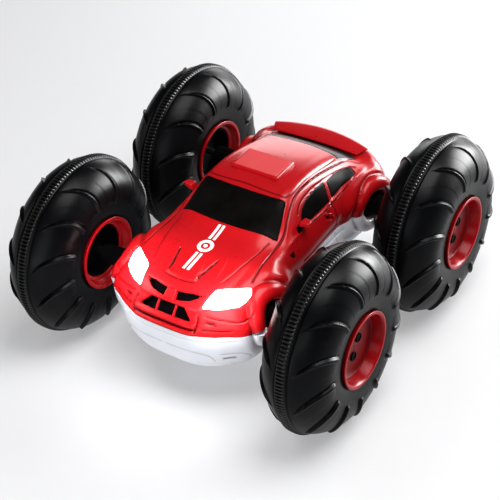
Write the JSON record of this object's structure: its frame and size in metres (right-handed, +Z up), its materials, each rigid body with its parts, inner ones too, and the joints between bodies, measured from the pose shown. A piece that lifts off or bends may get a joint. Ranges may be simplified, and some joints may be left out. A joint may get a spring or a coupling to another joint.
{
  "type": "rc stunt car",
  "caption": "Reversible radio-controlled stunt car with a red car body above, a white one below and large balloon wheels.",
  "frame": {"origin": "on the floor, under the middle of the four wheels", "axes": "+Z up, the nose points along -Y, the car's left side is +X, wheel axles along X"},
  "size_m": [0.2482, 0.261, 0.126],
  "materials": {
    "red_body": "semi-gloss moulded red",
    "white_body": "semi-gloss moulded white",
    "window_black": "satin black",
    "window_grey": "satin dark grey",
    "lens_clear": "clear gloss",
    "led": "clear",
    "tyre": "satin soft rubber",
    "rim_red": "satin red",
    "black_plastic": "satin",
    "gear_plastic": "natural nylon",
    "steel": "bright",
    "circuit_board": "green lacquer",
    "battery_wrap": "shrink film"
  },
  "bodies": {
    "root": {"battery_door": "white_body", "battery_pack": "battery_wrap", "chassis_plate": "black_plastic", "circuit_board": "circuit_board", "gearbox_case_left": "black_plastic", "gearbox_case_right": "black_plastic", "gearbox_cover_left": "black_plastic", "gearbox_cover_right": "black_plastic", "grille_insert": "black_plastic", "headlight_led_left": "led", "headlight_led_right": "led", "headlight_lens_left": "lens_clear", "headlight_lens_right": "lens_clear", "lower_rear_window": "window_grey", "lower_shell": "white_body", "lower_side_glass_left": "window_black", "lower_side_glass_right": "window_black", "lower_spoiler": "white_body", "lower_windshield": "window_black", "mirror_left": "red_body", "mirror_right": "red_body", "motor_left": "steel", "motor_right": "steel", "roof_hatch": "red_body", "upper_rear_window": "window_grey", "upper_shell": "red_body", "upper_side_glass_left": "window_black", "upper_side_glass_right": "window_black", "upper_spoiler": "red_body", "upper_windshield": "window_black"},
    "wheel_front_left": {"tyre_front_left": "tyre", "rim_outer_front_left": "rim_red", "rim_inner_front_left": "rim_red", "axle_front_left": "steel", "axle_gear_front_left": "gear_plastic"},
    "wheel_rear_left": {"tyre_rear_left": "tyre", "rim_outer_rear_left": "rim_red", "rim_inner_rear_left": "rim_red", "axle_rear_left": "steel", "axle_gear_rear_left": "gear_plastic"},
    "idler_front_left": {"idler_gear_front_left": "gear_plastic"},
    "centre_left": {"centre_gear_left": "gear_plastic"},
    "idler_rear_left": {"idler_gear_rear_left": "gear_plastic"},
    "pinion_left": {"motor_pinion_left": "steel"},
    "wheel_front_right": {"tyre_front_right": "tyre", "rim_outer_front_right": "rim_red", "rim_inner_front_right": "rim_red", "axle_front_right": "steel", "axle_gear_front_right": "gear_plastic"},
    "wheel_rear_right": {"tyre_rear_right": "tyre", "rim_outer_rear_right": "rim_red", "rim_inner_rear_right": "rim_red", "axle_rear_right": "steel", "axle_gear_rear_right": "gear_plastic"},
    "idler_front_right": {"idler_gear_front_right": "gear_plastic"},
    "centre_right": {"centre_gear_right": "gear_plastic"},
    "idler_rear_right": {"idler_gear_rear_right": "gear_plastic"},
    "pinion_right": {"motor_pinion_right": "steel"},
    "switch": {"power_switch": "black_plastic"}
  },
  "joints": [
    {"name": "front_wheel_spin_left", "type": "hinge", "parent": "root", "child": "wheel_front_left", "pos_m": [0.0995, -0.0675, 0.063], "axis": [1, 0, 0], "continuous": true},
    {"name": "rear_wheel_spin_left", "type": "hinge", "parent": "root", "child": "wheel_rear_left", "pos_m": [0.0995, 0.0675, 0.063], "axis": [1, 0, 0], "continuous": true},
    {"name": "idler_front_left_spin", "type": "hinge", "parent": "root", "child": "idler_front_left", "pos_m": [0.032, -0.0345, 0.063], "axis": [1, 0, 0], "continuous": true},
    {"name": "centre_left_spin", "type": "hinge", "parent": "root", "child": "centre_left", "pos_m": [0.032, 0, 0.063], "axis": [1, 0, 0], "continuous": true},
    {"name": "idler_rear_left_spin", "type": "hinge", "parent": "root", "child": "idler_rear_left", "pos_m": [0.032, 0.0345, 0.063], "axis": [1, 0, 0], "continuous": true},
    {"name": "pinion_left_spin", "type": "hinge", "parent": "root", "child": "pinion_left", "pos_m": [0.032, 0.012, 0.08378], "axis": [1, 0, 0], "continuous": true},
    {"name": "front_wheel_spin_right", "type": "hinge", "parent": "root", "child": "wheel_front_right", "pos_m": [-0.0995, -0.0675, 0.063], "axis": [1, 0, 0], "continuous": true},
    {"name": "rear_wheel_spin_right", "type": "hinge", "parent": "root", "child": "wheel_rear_right", "pos_m": [-0.0995, 0.0675, 0.063], "axis": [1, 0, 0], "continuous": true},
    {"name": "idler_front_right_spin", "type": "hinge", "parent": "root", "child": "idler_front_right", "pos_m": [-0.032, -0.0345, 0.063], "axis": [1, 0, 0], "continuous": true},
    {"name": "centre_right_spin", "type": "hinge", "parent": "root", "child": "centre_right", "pos_m": [-0.032, 0, 0.063], "axis": [1, 0, 0], "continuous": true},
    {"name": "idler_rear_right_spin", "type": "hinge", "parent": "root", "child": "idler_rear_right", "pos_m": [-0.032, 0.0345, 0.063], "axis": [1, 0, 0], "continuous": true},
    {"name": "pinion_right_spin", "type": "hinge", "parent": "root", "child": "pinion_right", "pos_m": [-0.032, 0.012, 0.08378], "axis": [1, 0, 0], "continuous": true},
    {"name": "power_switch_slide", "type": "slide", "parent": "root", "child": "switch", "axis": [1, 0, 0], "range_m": [0, 0.005]}
  ],
  "couplings": [
    {"joint": "rear_wheel_spin_left", "follows": "front_wheel_spin_left", "ratio": 1},
    {"joint": "idler_front_left_spin", "follows": "front_wheel_spin_left", "ratio": -0.83333},
    {"joint": "centre_left_spin", "follows": "front_wheel_spin_left", "ratio": 0.90909},
    {"joint": "idler_rear_left_spin", "follows": "front_wheel_spin_left", "ratio": -0.83333},
    {"joint": "pinion_left_spin", "follows": "front_wheel_spin_left", "ratio": -2},
    {"joint": "rear_wheel_spin_right", "follows": "front_wheel_spin_right", "ratio": 1},
    {"joint": "idler_front_right_spin", "follows": "front_wheel_spin_right", "ratio": -0.83333},
    {"joint": "centre_right_spin", "follows": "front_wheel_spin_right", "ratio": 0.90909},
    {"joint": "idler_rear_right_spin", "follows": "front_wheel_spin_right", "ratio": -0.83333},
    {"joint": "pinion_right_spin", "follows": "front_wheel_spin_right", "ratio": -2}
  ]
}
